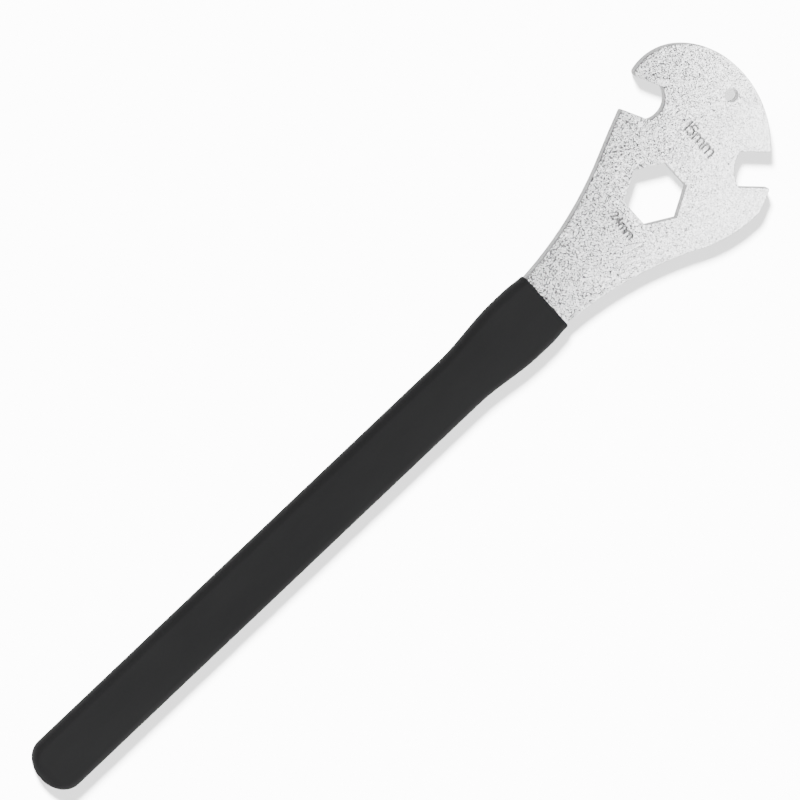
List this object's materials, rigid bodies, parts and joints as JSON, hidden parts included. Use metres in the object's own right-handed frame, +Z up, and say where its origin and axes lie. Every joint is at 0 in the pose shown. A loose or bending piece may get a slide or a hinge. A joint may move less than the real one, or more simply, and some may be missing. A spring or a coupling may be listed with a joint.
{
  "type": "pedal wrench",
  "caption": "Long flat steel pedal wrench with angled open jaws, a hexagon opening, a hanging hole and a soft black grip.",
  "frame": {"origin": "below the middle of the whole wrench, on the surface that the grip's underside rests on", "axes": "+X along the handle towards the head, +Y towards the side of the hook jaw, +Z up out of the plate's face"},
  "size_m": [0.422, 0.0836, 0.009],
  "materials": {
    "plate_steel": "matt nickel plate over a fine blasted grain",
    "grip_rubber": "matt black, fine grained"
  },
  "bodies": {
    "root": {"steel_plate": "plate_steel", "grip": "grip_rubber"}
  },
  "joints": []
}
